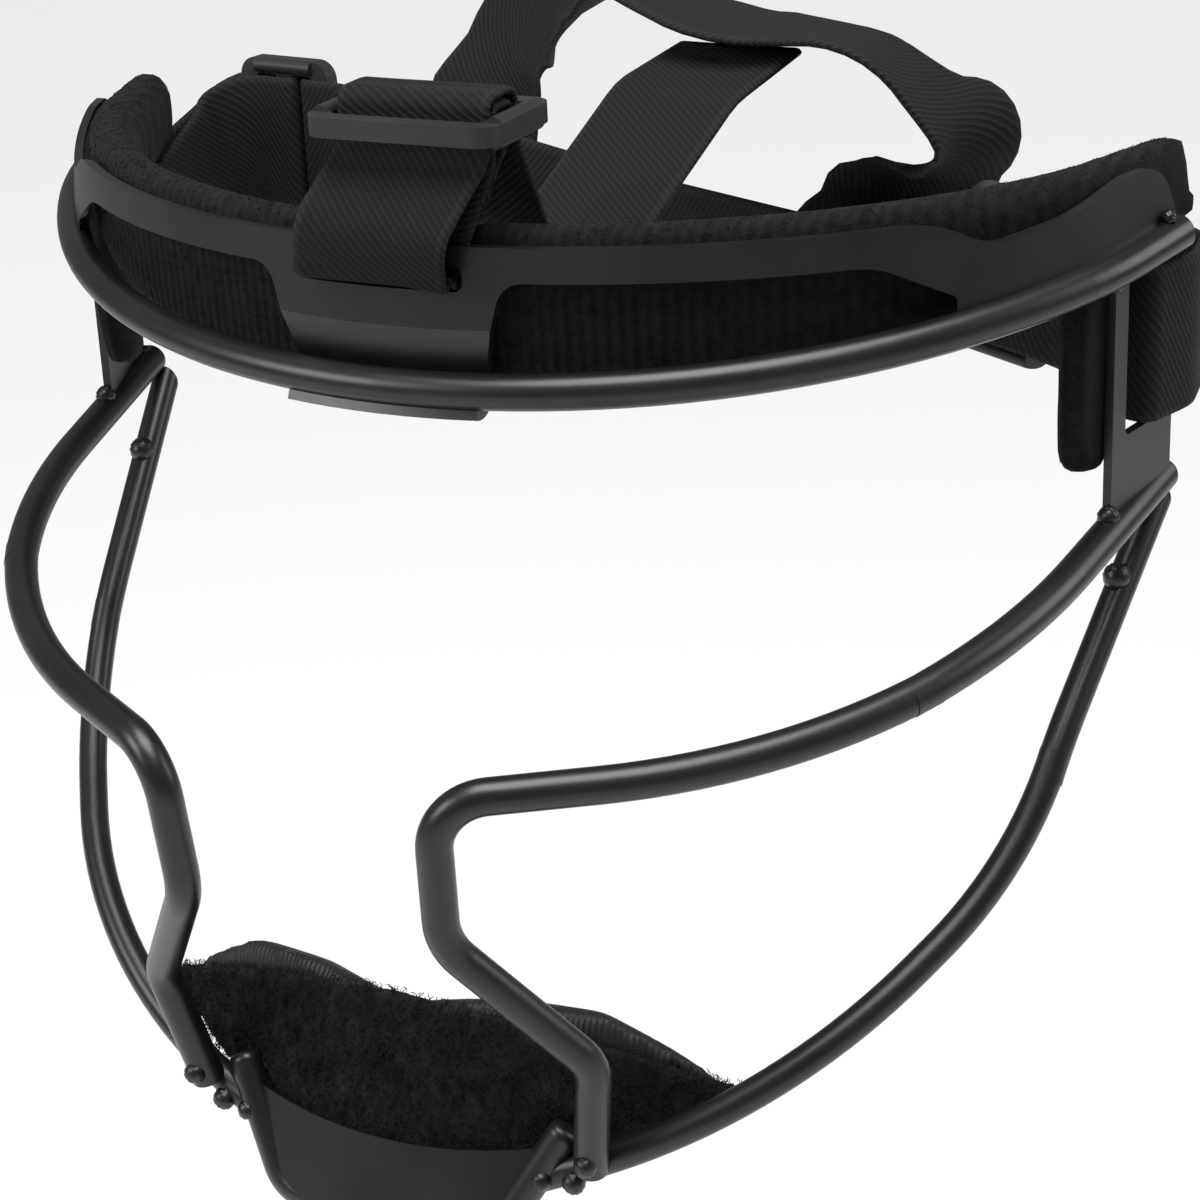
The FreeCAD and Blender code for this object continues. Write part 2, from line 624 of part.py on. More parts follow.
# Chin pad: a fibre-faced front with a crescent outline and a two-lobed cushion behind it
FACE_BOW = 82.0
FACE_THICK = 1.4
FACE_PLACE = FreeCAD.Placement(V(0, -87.7, -105.0), FreeCAD.Rotation(V(1, 0, 0), -12.0))
face_sheet = bowed_sheet("face_sheet", FACE_PLACE, FACE_BOW, 0.0, FACE_THICK, 68.0, 80.0)
face_front = new_body("face_front", FACE_PLACE)
face_outline = new_sketch(face_front, "face_outline", "XZ_Plane")
TIP = V(53.9, 0.0, 0)
FACE_TOP = V(0, 11.6, 0)
FACE_LOW = V(0, -16.5, 0)
face_outline.addGeometry(Part.Arc(flip(TIP), FACE_TOP, TIP), False)
face_outline.addGeometry(Part.Arc(TIP, FACE_LOW, flip(TIP)), False)
pad_of(face_front, face_outline, "face_front_pad", 90.0)
face_whole = boolean("Common", "face_whole", face_sheet, face_front)
chin_pad_loop_face = boolean("Cut", "chin_pad_loop_face", face_whole, chin_bar)

# Cushion sections: angle round the bow, lower edge, upper edge and depth
LOBES = [(38.0, -1.0, 1.6, 1.2), (32.0, -5.6, 6.4, 6.5), (24.0, -10.2, 11.6, 11.5), (13.0, -13.6, 12.4, 13.0),
         (0.0, -15.2, 9.6, 11.0)]
cushion_front = FACE_THICK / 2 + 0.02


def cushion_section(angle, low, high, depth):
    """A D-shaped section of the chin cushion, flat against the fibre face."""
    turn = math.radians(angle)
    out = V(math.sin(turn), -math.cos(turn), 0)
    centre = V(0, FACE_BOW, 0)
    face = centre + out * (FACE_BOW - cushion_front)
    back = centre + out * (FACE_BOW - cushion_front - depth)
    bottom = face + V(0, 0, low)
    top = face + V(0, 0, high)
    bulge = back + V(0, 0, low + (high - low) * 0.55)
    return Part.Wire([Part.LineSegment(bottom, top).toShape(), Part.Arc(top, bulge, bottom).toShape()])


left_half = [cushion_section(*row) for row in LOBES]
right_half = [cushion_section(-row[0], *row[1:]) for row in reversed(LOBES[:-1])]
cushion = Part.makeLoft(left_half + right_half, True, True)
cushion.Placement = FACE_PLACE
chin_pad_cushion = feature("chin_pad_cushion", cushion)

# Hook tape on the back of the chin plate
chin_tape_depth = CHIN_FRONT + plate_half + 0.6
chin_tape_sheet = bowed_sheet("chin_tape_sheet", CHIN_PLACE, CHIN_BOW, chin_tape_depth, 0.6, 30.0, 70.0)
chin_tape_front = outline_body("chin_tape_front", "XZ_Plane",
                               [(-17, -17.5, 2), (17, -17.5, 2), (19, -8.6, 2), (-19, -8.6, 2)], 90.0, CHIN_PLACE)
chin_tape_whole = boolean("Common", "chin_tape_whole", chin_tape_sheet, chin_tape_front)
chin_tape_clear = boolean("Cut", "chin_tape_clear", chin_tape_whole, chin_bar)
chin_hook_tape = boolean("Cut", "chin_hook_tape", chin_tape_clear, chin_pad_loop_face)
doc.recompute()

# Three-bar sliders: two slots, a middle bar and thicker end walls


def slider(name, place):
    """A three-bar slider, its length along X and its width along Y."""
    body = new_body(name, place)
    half_long = size("slider_length") / 2
    half_wide = size("slider_width") / 2
    bar = size("slider_bar")
    outline = new_sketch(body, name + "_outline")
    draw_loop(outline, [(-half_long, -half_wide, 3.6), (half_long, -half_wide, 3.6),
                        (half_long, half_wide, 3.6), (-half_long, half_wide, 3.6)])
    pad_of(body, outline, name + "_plate", "slider_thick")
    ends = new_sketch(body, name + "_ends", "XZ_Plane")
    wall = size("slider_wall")
    height = size("slider_thick") / 2 + 0.9
    for side in (-1, 1):
        draw_loop(ends, [(side * half_long, -height, 1.4), (side * (half_long - wall), -height, 1.4),
                         (side * (half_long - wall), height, 1.4), (side * half_long, height, 1.4)])
    pad_of(body, ends, name + "_walls", 2 * half_wide - 7.4)
    slots = new_sketch(body, name + "_slots")
    slot_long = half_long - wall
    for side in (-1, 1):
        near, far = side * bar / 2, side * (half_wide - bar)
        draw_loop(slots, [(-slot_long, near, 1.2), (slot_long, near, 1.2),
                          (slot_long, far, 1.8), (-slot_long, far, 1.8)])
    through_pocket(body, slots, name + "_slots_cut")
    return body


def frame_of(centre, along, across):
    """A placement from a centre, a length direction and a width direction."""
    x = V(along).normalize()
    z = x.cross(across).normalize()
    y = z.cross(x)
    matrix = FreeCAD.Matrix(x.x, y.x, z.x, centre.x, x.y, y.y, z.y, centre.y, x.z, y.z, z.z, centre.z, 0, 0, 0, 1)
    return FreeCAD.Placement(matrix)


TOP_SLIDER = V(5.5, -66.3, 43.6)
LEFT_SLIDER = V(68.0, 14.0, 2.6)
LEFT_LEAN = V(0.32, -0.26, 0.91)
LEFT_RUN = V(1, 0.05, 0)
RIGHT_SLIDER = V(-78.0, 28.5, 12.6)
RIGHT_RUN = V(-1, 0.12, 0)
top_slider = slider("top_slider", frame_of(TOP_SLIDER, V(1, 0, 0), V(0, 1, 0)))
left_slider = slider("left_slider", frame_of(LEFT_SLIDER, LEFT_LEAN, LEFT_RUN))
right_slider = slider("right_slider", frame_of(RIGHT_SLIDER, V(0, 0, 1), RIGHT_RUN))

# Straps. Each corner: a point, a bend radius and the direction of the width
strap_width = size("webbing_width")
strap_thick = size("webbing_thick")
LEVEL = V(1, 0, 0)
UP = V(0, 0, 1)


def shifted(point, base=TOP_SLIDER):
    """A point given from the top slider's centre."""
    return base + point


# How far a strap's middle lies from a slider's middle bar: the sewn fold and the second pass over it
fold_side = size("slider_bar") / 2 + strap_thick / 2 + 0.3
fold_rise = size("slider_thick") / 2 + strap_thick / 2 + 0.3
pass_side = fold_side + strap_thick + 0.3
pass_rise = fold_rise + strap_thick + 0.3
FOLD_BEND = 1.2
SLACK = V(0.97, -0.24, 0)
top_strap = webbing("top_strap", [
    (shifted(V(-2.2, -2.4, -9.4)), 0, LEVEL),
    (shifted(V(0, -0.8, -4.7)), 4.0, LEVEL),
    (shifted(V(0, fold_side, -2.3)), 1.5, LEVEL),
    (shifted(V(0, fold_side, fold_rise)), FOLD_BEND, LEVEL),
    (shifted(V(0, -fold_side, fold_rise)), FOLD_BEND, LEVEL),
    (shifted(V(0, -fold_side - 0.3, -4.0)), 8.0, LEVEL),
    (V(2.2, -72.2, 29.0), 6.0, LEVEL),
    (V(0.3, -72.3, 21.6), 1.7, LEVEL),
    (V(0.3, -77.6, 21.4), 1.9, LEVEL),
    (V(1.6, -79.4, 29.0), 9.0, LEVEL),
    (shifted(V(0, -pass_side - 0.2, -3.4)), 6.0, LEVEL),
    (shifted(V(0, -pass_side, pass_rise)), 2.2, LEVEL),
    (shifted(V(0, pass_side, pass_rise)), 2.2, LEVEL),
    (shifted(V(0, pass_side + 0.1, -5.0)), 8.0, LEVEL),
    (V(9.0, -50.0, 17.5), 12.0, SLACK),
    (V(13.0, -33.0, 19.0), 14.0, SLACK),
    (V(19.0, -9.0, 35.5), 14.0, SLACK),
    (V(23.0, 8.0, 39.4), 0, V(0.9, -0.43, 0))], strap_width, strap_thick)

# The back strap runs through both temple windows; each end is sewn round its slider's middle bar


def slider_axes(centre, along, run, rear):
    """A function that places points from a slider's centre: towards the mask, then to the rear."""
    place = frame_of(centre, along, run)
    run_axis = place.Rotation.multVec(V(0, 1, 0))
    rear_axis = place.Rotation.multVec(V(0, 0, 1)) * rear
    return lambda ahead, behind: centre + run_axis * ahead + rear_axis * behind


def loop_round_post(side, z):
    """The loop round a temple plate's rear post, from inside the window to the outside."""
    points = [(91.0, 3.0, 9.0), (93.2, -7.2, 2.4), (98.0, -8.6, 2.4), (101.6, 2.0, 12.0), (99.8, 15.5, 7.0)]
    return [(V(side * x, y, z), radius, UP) for x, y, radius in points]


def sewn_fold(at, across):
    """The webbing's end, folded round a slider's middle bar, then off towards the mask."""
    return [(at(5.4, fold_rise), 0, across), (at(-fold_side, fold_rise), FOLD_BEND, across),
            (at(-fold_side, -fold_rise), FOLD_BEND, across), (at(11.5, -fold_rise), 7.0, across)]


def second_pass(at, across):
    """Back from the mask, over the sewn fold and down through the far slot."""
    return [(at(12.0, pass_rise), 8.0, across), (at(-pass_side, pass_rise), 2.2, across),
            (at(-pass_side - 0.4, -fold_rise), 1.8, across), (at(-13.0, -fold_rise), 6.0, across)]


LOOP_Z = 0.2
left_at = slider_axes(LEFT_SLIDER, LEFT_LEAN, LEFT_RUN, 1)
right_at = slider_axes(RIGHT_SLIDER, UP, RIGHT_RUN, -1)
left_way = sewn_fold(left_at, LEFT_LEAN) + loop_round_post(1, LOOP_Z) + second_pass(left_at, LEFT_LEAN)
right_way = sewn_fold(right_at, UP) + loop_round_post(-1, LOOP_Z) + second_pass(right_at, UP)
nape = [(V(44.0, 8.0, -2.0), 12.0, UP), (V(-2.0, 21.5, 0.5), 60.0, UP)]
back_web = webbing("back_web", left_way + nape + right_way[::-1], strap_width, strap_thick)
# The webbing's edges are pressed in where they bear on the sliders
back_pressed = boolean("Cut", "back_pressed", back_web, left_slider)
back_strap = boolean("Cut", "back_strap", back_pressed, right_slider)
BACK_RUN = V(0.998, -0.065, 0)
crown_strap = webbing("crown_strap", [
    (V(37.5, 14.4, -8.0), 0, BACK_RUN),
    (V(37.8, 14.4, 3.0), 10.0, BACK_RUN),
    (V(49.0, 21.0, 13.0), 12.0, V(0.7, 0.6, -0.3)),
    (V(62.0, 18.0, 23.0), 12.0, V(0.3, 0.9, -0.3)),
    (V(45.0, 10.0, 41.5), 14.0, V(-0.1, 0.98, -0.1)),
    (V(22.0, 10.0, 42.6), 20.0, V(-0.25, 0.96, 0)),
    (V(-4.0, 24.0, 46.0), 30.0, V(-0.6, 0.8, 0)),
    (V(-33.0, 38.0, 38.0), 18.0, V(-0.85, 0.5, 0.1)),
    (V(-45.5, 36.5, 18.0), 16.0, V(-0.97, 0.22, 0)),
    (V(-45.5, 34.6, -2.5), 0, V(-0.97, 0.22, 0))], strap_width, strap_thick)
doc.recompute()

# Every piece is checked before it is written
PIECES = [brow_bar, brow_plate, temple_plate_left, temple_plate_right, cheek_bar_left, cheek_bar_right,
          jaw_bar_left, jaw_bar_right, chin_bar, chin_plate, weld_beads, head_hook_tape, head_pad,
          chin_hook_tape, chin_pad_loop_face, chin_pad_cushion, top_strap, crown_strap, back_strap,
          top_slider, left_slider, right_slider]
for thing in doc.Objects:
    if "Invalid" in thing.State or "Error" in thing.State:
        raise RuntimeError("%s did not build: %s" % (thing.Label, thing.State))
for piece in PIECES:
    if piece.Shape.isNull() or not piece.Shape.isValid():
        raise RuntimeError("%s has no valid shape" % piece.Label)
    piece.Shape.exportStep("parts/%s.step" % piece.Label)
    print(piece.Label, len(piece.Shape.Solids), round(piece.Shape.Volume))
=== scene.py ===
"""A softball fielder's face guard: painted steel wire, padded brow and chin, webbing harness."""

import json
import logging
import math
import random
from collections.abc import Callable
from dataclasses import dataclass, field
from enum import Enum

import bmesh
import bpy
from mathutils import Matrix, Vector
from mathutils.bvhtree import BVHTree


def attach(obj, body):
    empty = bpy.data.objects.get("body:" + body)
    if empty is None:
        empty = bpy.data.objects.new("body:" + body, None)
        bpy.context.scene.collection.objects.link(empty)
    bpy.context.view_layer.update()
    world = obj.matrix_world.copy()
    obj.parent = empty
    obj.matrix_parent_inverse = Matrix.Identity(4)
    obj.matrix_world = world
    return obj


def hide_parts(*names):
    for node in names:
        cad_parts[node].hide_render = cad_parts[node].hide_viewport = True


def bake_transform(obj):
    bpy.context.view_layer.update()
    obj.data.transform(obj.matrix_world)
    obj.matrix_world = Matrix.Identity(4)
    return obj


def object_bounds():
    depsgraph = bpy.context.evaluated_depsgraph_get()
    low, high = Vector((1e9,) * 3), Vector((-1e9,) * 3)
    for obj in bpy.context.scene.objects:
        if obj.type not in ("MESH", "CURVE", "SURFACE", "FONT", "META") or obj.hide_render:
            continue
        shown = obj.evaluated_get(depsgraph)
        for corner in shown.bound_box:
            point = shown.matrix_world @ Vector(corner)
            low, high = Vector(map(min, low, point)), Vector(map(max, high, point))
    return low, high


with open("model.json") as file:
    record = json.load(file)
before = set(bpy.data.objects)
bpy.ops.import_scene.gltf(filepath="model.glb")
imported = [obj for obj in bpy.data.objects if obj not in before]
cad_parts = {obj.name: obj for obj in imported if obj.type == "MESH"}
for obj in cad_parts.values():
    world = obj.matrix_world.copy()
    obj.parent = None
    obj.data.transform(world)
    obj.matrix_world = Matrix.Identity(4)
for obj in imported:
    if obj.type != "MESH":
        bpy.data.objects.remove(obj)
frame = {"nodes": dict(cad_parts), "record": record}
CAD_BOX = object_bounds()

LOG = logging.getLogger("face_guard")
MM = 0.001
Corner = tuple[tuple[float, float, float], float, tuple[float, float, float]]
UP = (0.0, 0.0, 1.0)
LEVEL = (1.0, 0.0, 0.0)
MERGE_GAP = 0.00002


class Side(Enum):
    """The wearer's side."""

    LEFT = 1
    RIGHT = -1


@dataclass(frozen=True)
class Seat:
    """A side slider's centre in mm, its strap's run and width, and the sign of its rear."""

    centre: tuple[float, float, float]
    run: tuple[float, float, float]
    lean: tuple[float, float, float]
    rear: int


TOP_SLIDER = (5.5, -66.3, 43.6)
SEATS = {
    Side.LEFT: Seat((68.0, 14.0, 2.6), (1.0, 0.05, 0.0), (0.32, -0.26, 0.91), 1),
    Side.RIGHT: Seat((-78.0, 28.5, 12.6), (-1.0, 0.12, 0.0), UP, -1),
}
POST = [(91.0, 3.0, 9.0), (93.2, -7.2, 2.4), (98.0, -8.6, 2.4), (101.6, 2.0, 12.0),
        (99.8, 15.5, 7.0)]


class NodeSheet:
    """A material's node tree, with short calls for the nodes that the finishes share."""

    def __init__(self, name: str) -> None:
        """Start a material with one shader and its output.

        Args:
            name: The material's name.
        """
        self.material = bpy.data.materials.new(name)
        self.material.use_nodes = True
        self.tree = self.material.node_tree
        self.shader = self.tree.nodes["Principled BSDF"]
        self.place = self.tree.nodes.new("ShaderNodeTexCoord").outputs["Object"]

    def node(self, kind: str, **sockets: object) -> bpy.types.Node:
        """Add a node and fill its sockets.

        Args:
            kind: The node's type without its ShaderNode prefix.
            **sockets: Values or links by socket name, with _ for a space.

        Returns:
            The new node.
        """
        made = self.tree.nodes.new("ShaderNode" + kind)
        for name, value in sockets.items():
            self.fill(made.inputs[name.replace("_", " ")], value)
        return made

    def fill(self, socket: bpy.types.NodeSocket, value: object) -> None:
        """Link or set one socket.

        Args:
            socket: The input to fill.
            value: A node's output to link, or a plain value.
        """
        if isinstance(value, bpy.types.NodeSocket):
            self.tree.links.new(value, socket)
        else:
            socket.default_value = value

    def maths(self, operation: str, *values: object) -> bpy.types.NodeSocket:
        """Return the result of one maths step on links or numbers.

        Args:
            operation: The Math node's operation.
            *values: Links or numbers, in order.

        Returns:
            The step's output.
        """
        made = self.tree.nodes.new("ShaderNodeMath")
        made.operation = operation
        for socket, value in zip(made.inputs, values):
            self.fill(socket, value)
        return made.outputs[0]

    def noise(self, scale: float, detail: float = 3.0) -> bpy.types.NodeSocket:
        """Return noise on the object's own coordinates."""
        made = self.node("TexNoise", Vector=self.place, Scale=scale, Detail=detail)
        return made.outputs["Fac"]

    def attribute(self, name: str) -> bpy.types.NodeSocket:
        """Return a mesh attribute's value.

        Args:
            name: The attribute's name.

        Returns:
            Its output.
        """
        made = self.tree.nodes.new("ShaderNodeAttribute")
        made.attribute_name = name
        return made.outputs["Fac"]

    def ramp(self, value: bpy.types.NodeSocket, dark: tuple, light: tuple,
             low: float = 0.3, high: float = 0.7) -> bpy.types.NodeSocket:
        """Return a colour between dark and light.

        Args:
            value: What picks the colour.
            dark: The colour at the low end.
            light: The colour at the high end.
            low: The value that gives the dark colour.
            high: The value that gives the light colour.

        Returns:
            The colour's output.
        """
        made = self.tree.nodes.new("ShaderNodeValToRGB")
        made.color_ramp.elements[0].position = low
        made.color_ramp.elements[0].color = (*dark, 1.0)
        made.color_ramp.elements[1].position = high
        made.color_ramp.elements[1].color = (*light, 1.0)
        self.tree.links.new(value, made.inputs["Fac"])
        return made.outputs["Color"]

    def spread(self, value: bpy.types.NodeSocket, low: float,
               high: float) -> bpy.types.NodeSocket:
        """Return a value mapped from 0..1 to low..high.

        Args:
            value: The value to map.
            low: What 0 becomes.
            high: What 1 becomes.

        Returns:
            The mapped output.
        """
        made = self.node("MapRange", Value=value)
        made.inputs["To Min"].default_value = low
        made.inputs["To Max"].default_value = high
        return made.outputs["Result"]

    def bump(self, height: bpy.types.NodeSocket, strength: float, distance: float,
             under: bpy.types.NodeSocket | None = None) -> bpy.types.NodeSocket:
        """Return a normal raised by height.

        Args:
            height: The height's output.
            strength: How much of the bump shows.
            distance: The full height in metres.
            under: A normal to build on, if any.

        Returns:
            The normal's output.
        """
        made = self.node("Bump", Height=height, Strength=strength, Distance=distance)
        if under is not None:
            self.tree.links.new(under, made.inputs["Normal"])
        return made.outputs["Normal"]

    def finish(self, colour: object, roughness: object,
               normal: bpy.types.NodeSocket) -> bpy.types.Material:
        """Set the shader's main sockets and return the material.

        Args:
            colour: The base colour.
            roughness: The roughness.
            normal: The normal's output.

        Returns:
            The finished material.
        """
        self.fill(self.shader.inputs["Base Color"], colour)
        self.fill(self.shader.inputs["Roughness"], roughness)
        self.fill(self.shader.inputs["Normal"], normal)
        return self.material

    def gloss(self, level: float) -> None:
        """Set how much light the bare surface reflects."""
        self.shader.inputs["Specular IOR Level"].default_value = level

    def sheen(self, weight: float, roughness: float, tint: float) -> None:
        """Set a cloth sheen.

        Args:
            weight: How strong it is.
            roughness: How wide it spreads.
            tint: How pale it is.
        """
        self.shader.inputs["Sheen Weight"].default_value = weight
        self.shader.inputs["Sheen Roughness"].default_value = roughness
        self.shader.inputs["Sheen Tint"].default_value = (tint, tint, tint * 1.03, 1.0)


@dataclass(frozen=True)
class PowderCoat:
    """Satin black powder coat on steel."""

    name: str
    dark: tuple = (0.004, 0.004, 0.0043)
    light: tuple = (0.008, 0.008, 0.0083)
    grain: float = 1500.0
    grain_depth: float = 0.00004
    lumps: float = 160.0
    lump_depth: float = 0.00002

    def material(self) -> bpy.types.Material:
        """Build the coat: faint mottling, fine grain, a few pale specks.

        Returns:
            The material.
        """
        sheet = NodeSheet(self.name)
        mottle = sheet.noise(55.0, 4.0)
        speck = sheet.node("TexVoronoi", Vector=sheet.place, Scale=420.0).outputs["Distance"]
        dot = sheet.maths("LESS_THAN", speck, 0.035)
        base = sheet.ramp(mottle, self.dark, self.light)
        mix = sheet.tree.nodes.new("ShaderNodeMixRGB")
        sheet.fill(mix.inputs["Fac"], sheet.maths("MULTIPLY", dot, 0.12))
        sheet.fill(mix.inputs["Color1"], base)
        mix.inputs["Color2"].default_value = (0.30, 0.30, 0.30, 1.0)
        lump = sheet.bump(sheet.noise(self.lumps), 0.5, self.lump_depth)
        grain = sheet.bump(sheet.noise(self.grain, 2.0), 0.25, self.grain_depth, lump)
        sheet.gloss(0.42)
        return sheet.finish(mix.outputs["Color"], sheet.spread(mottle, 0.30, 0.40), grain)


@dataclass(frozen=True)
class Moulded:
    """Finely textured black plastic."""

    name: str = "slider_moulded"

    def material(self) -> bpy.types.Material:
        """Build the plastic.

        Returns:
            The material.
        """
        sheet = NodeSheet(self.name)
        broad = sheet.noise(70.0)
        grain = sheet.bump(sheet.noise(2600.0, 2.0), 0.45, 0.00006)
        sheet.gloss(0.4)
        return sheet.finish(sheet.ramp(broad, (0.009, 0.009, 0.010), (0.016, 0.016, 0.017)),
                            sheet.spread(broad, 0.42, 0.55), grain)


@dataclass(frozen=True)
class WovenElastic:
    """Webbing: a diagonal bead along the strap, plain selvedges, laid by the strap's attributes."""

    name: str = "webbing_woven"
    slope: float = 0.62
    bead: float = 0.00115
    cord: float = 0.00088
    selvedge: float = 0.0113

    def material(self) -> bpy.types.Material:
        """Build the weave from the along and across attributes, in metres.

        Returns:
            The material.
        """
        sheet = NodeSheet(self.name)
        along, across = sheet.attribute("along"), sheet.attribute("across")
        slant = sheet.maths("ADD", along, sheet.maths("MULTIPLY", across, self.slope))
        twill = sheet.maths("SINE", sheet.maths("MULTIPLY", slant, 2 * math.pi / self.bead))
        cords = sheet.maths("SINE", sheet.maths("MULTIPLY", across, 2 * math.pi / self.cord))
        bead = sheet.maths("MULTIPLY", sheet.spread(twill, 0.0, 1.0),
                           sheet.maths("ABSOLUTE", cords))
        weave = sheet.maths("ADD", bead, sheet.maths("MULTIPLY", twill, 0.35))
        edge = sheet.maths("GREATER_THAN", sheet.maths("ABSOLUTE", across), self.selvedge)
        fuzz = sheet.noise(900.0, 4.0)
        # Colour value: random fuzz tone and paler selvedges, plus the weave height, which paints a
        # highlight on the bead's raised tops and painted shade in its hollows.
        tone_and_bead_highlight = sheet.maths("ADD", sheet.maths("MULTIPLY", weave, 0.35),
                            sheet.maths("ADD", sheet.maths("MULTIPLY", fuzz, 0.4),
                                        sheet.maths("MULTIPLY", edge, 0.25)))
        rows = sheet.bump(weave, 0.8, 0.00012)
        sheet.gloss(0.16)
        sheet.sheen(0.03, 0.45, 0.4)
        colour = sheet.ramp(tone_and_bead_highlight, (0.004, 0.004, 0.0045), (0.017, 0.017, 0.018), 0.15, 0.95)
        return sheet.finish(colour, sheet.spread(fuzz, 0.72, 0.9),
                            sheet.bump(fuzz, 0.4, 0.00010, rows))


@dataclass(frozen=True)
class Nap:
    """Brushed cloth: short fleece, long fibre, hook tape or rib knit, by its numbers."""

    name: str
    dark: tuple
    light: tuple
    clump: float
    thread: float
    depth: float
    rib: float = 0.0
    rib_depth: float = 0.0
    rough: tuple = (0.86, 0.97)
    sheen_weight: float = 0.03
    sheen_tint: float = 0.4
    gloss: float = 0.1

    def material(self) -> bpy.types.Material:
        """Build the cloth: clumped fibres over an optional upright rib.

        Returns:
            The material.
        """
        sheet = NodeSheet(self.name)
        clump, thread = sheet.noise(self.clump, 5.0), sheet.noise(self.thread, 3.0)
        both = sheet.maths("ADD", sheet.maths("MULTIPLY", clump, 0.6),
                           sheet.maths("MULTIPLY", thread, 0.4))
        under = None
        if self.rib:
            split = sheet.tree.nodes.new("ShaderNodeSeparateXYZ")
            sheet.tree.links.new(sheet.place, split.inputs[0])
            wave = sheet.maths("SINE", sheet.maths("MULTIPLY", split.outputs["X"],
                                                   2 * math.pi / self.rib))
            under = sheet.bump(wave, 0.6, self.rib_depth)
            # The rib wave also goes into the colour: a painted highlight on the rib crests and
            # painted shade in the rib hollows.
            both = sheet.maths("ADD", both, sheet.maths("MULTIPLY", wave, 0.05))
        sheet.gloss(self.gloss)
        sheet.sheen(self.sheen_weight, 0.5, self.sheen_tint)
        return sheet.finish(sheet.ramp(both, self.dark, self.light),
                            sheet.spread(clump, *self.rough),
                            sheet.bump(both, 0.9, self.depth, under))


class Finishes:
    """Every material, by the record's slot."""

    def __init__(self) -> None:
        """Build all the finishes once."""
        black = (0.003, 0.003, 0.0033)
        self.by_slot = {
            "frame_paint": PowderCoat("frame_powder_coat").material(),
            "weld_paint": PowderCoat("weld_powder_coat", lumps=620.0,
                                     lump_depth=0.0005).material(),
            "slider_plastic": Moulded().material(),
            "webbing": WovenElastic().material(),
            "fleece": Nap("brow_fleece", black, (0.012, 0.012, 0.0125), clump=420.0,
                          thread=2200.0, depth=0.0004, rib=0.0019, rib_depth=0.00014).material(),
            "loop_fibre": Nap("chin_fibre", black, (0.020, 0.020, 0.021), clump=300.0,
                              thread=1500.0, depth=0.0010).material(),
            "knit": Nap("cushion_knit", (0.005, 0.005, 0.0055), (0.012, 0.012, 0.013),
                        clump=260.0, thread=1800.0, depth=0.00008, rib=0.0009,
                        rib_depth=0.00010, rough=(0.45, 0.6), sheen_weight=0.06,
                        sheen_tint=0.5, gloss=0.3).material(),
            "hook_tape": Nap("hook_tape", black, (0.012, 0.012, 0.012), clump=900.0,
                             thread=2600.0, depth=0.0004).material(),
        }

    def dress_nodes(self) -> None:
        """Give every CAD node the finish of its slot."""
        slots = {part["node"]: part["material_slot"] for part in frame["record"]["subparts"]}
        for name, node in frame["nodes"].items():
            material = self.by_slot[slots[name]]
            node.data.materials.clear()
            node.data.materials.append(material)
            LOG.info("dressed %s with %s", name, material.name)

    def dress(self, piece: bpy.types.Object, slot: str) -> None:
        """Give a new piece the finish of a slot.

        Args:
            piece: The piece.
            slot: The record's slot.
        """
        piece.data.materials.clear()
        piece.data.materials.append(self.by_slot[slot])


def new_object(name: str, data: bpy.types.ID) -> bpy.types.Object:
    """Link a new object at the origin.

    Args:
        name: Its name.
        data: Its mesh, curve or lamp.

    Returns:
        The object.
    """
    made = bpy.data.objects.new(name, data)
    bpy.context.scene.collection.objects.link(made)
    return made


@dataclass
class Route:
    """A strap's middle line: straight runs joined by bends, with the direction of its width."""

    corners: list[Corner]
    arc_step: float = math.radians(11.0)
    run_step: float = 0.0026
    least_turn: float = 0.02
    most_reach: float = 0.49

    def stations(self) -> list[tuple[Vector, Vector, float]]:
        """Sample the line.

        Returns:
            Point, width direction and distance along, for each station.
        """
        points = [Vector(c[0]) * MM for c in self.corners]
        widths = [Vector(c[2]).normalized() for c in self.corners]
        raw: list[tuple[Vector, Vector]] = [(points[0], widths[0])]
        for index in range(1, len(points) - 1):
            raw += self.bend(points[index - 1:index + 2], self.corners[index][1] * MM,
                             widths[index])
        raw.append((points[-1], widths[-1]))
        out: list[tuple[Vector, Vector, float]] = [(*raw[0], 0.0)]
        for point, width in raw[1:]:
            last, last_width, travelled = out[-1]
            gap = (point - last).length
            steps = max(1, round(gap / self.run_step))
            for step in range(1, steps + 1):
                share = step / steps
                out.append((last.lerp(point, share), last_width.lerp(width, share).normalized(),
                            travelled + gap * share))
        return out

    def bend(self, three: list[Vector], radius: float,
             width: Vector) -> list[tuple[Vector, Vector]]:
        """Sample the arc at the middle of three corners.

        Args:
            three: The corner, with the one before and the one after.
            radius: The bend's radius in metres.
            width: The direction of the strap's width.

        Returns:
            Point and width direction, for each station of the bend.
        """
        before, after = (three[0] - three[1]), (three[2] - three[1])
        shorter = min(before.length, after.length)
        before.normalize()
        after.normalize()
        turn = math.pi - before.angle(after)
        if turn < self.least_turn or radius <= 0:
            return [(three[1], width)]
        reach = min(radius * math.tan(turn / 2), self.most_reach * shorter)
        radius = reach / math.tan(turn / 2)
        centre = three[1] + (before + after).normalized() * (radius / math.cos(turn / 2))
        start = three[1] + before * reach - centre
        axis = before.cross(after).normalized()
        steps = max(2, math.ceil(turn / self.arc_step))
        turns = [Matrix.Rotation(-turn * k / steps, 3, axis) for k in range(steps + 1)]
        return [(centre + rotation @ start, width) for rotation in turns]


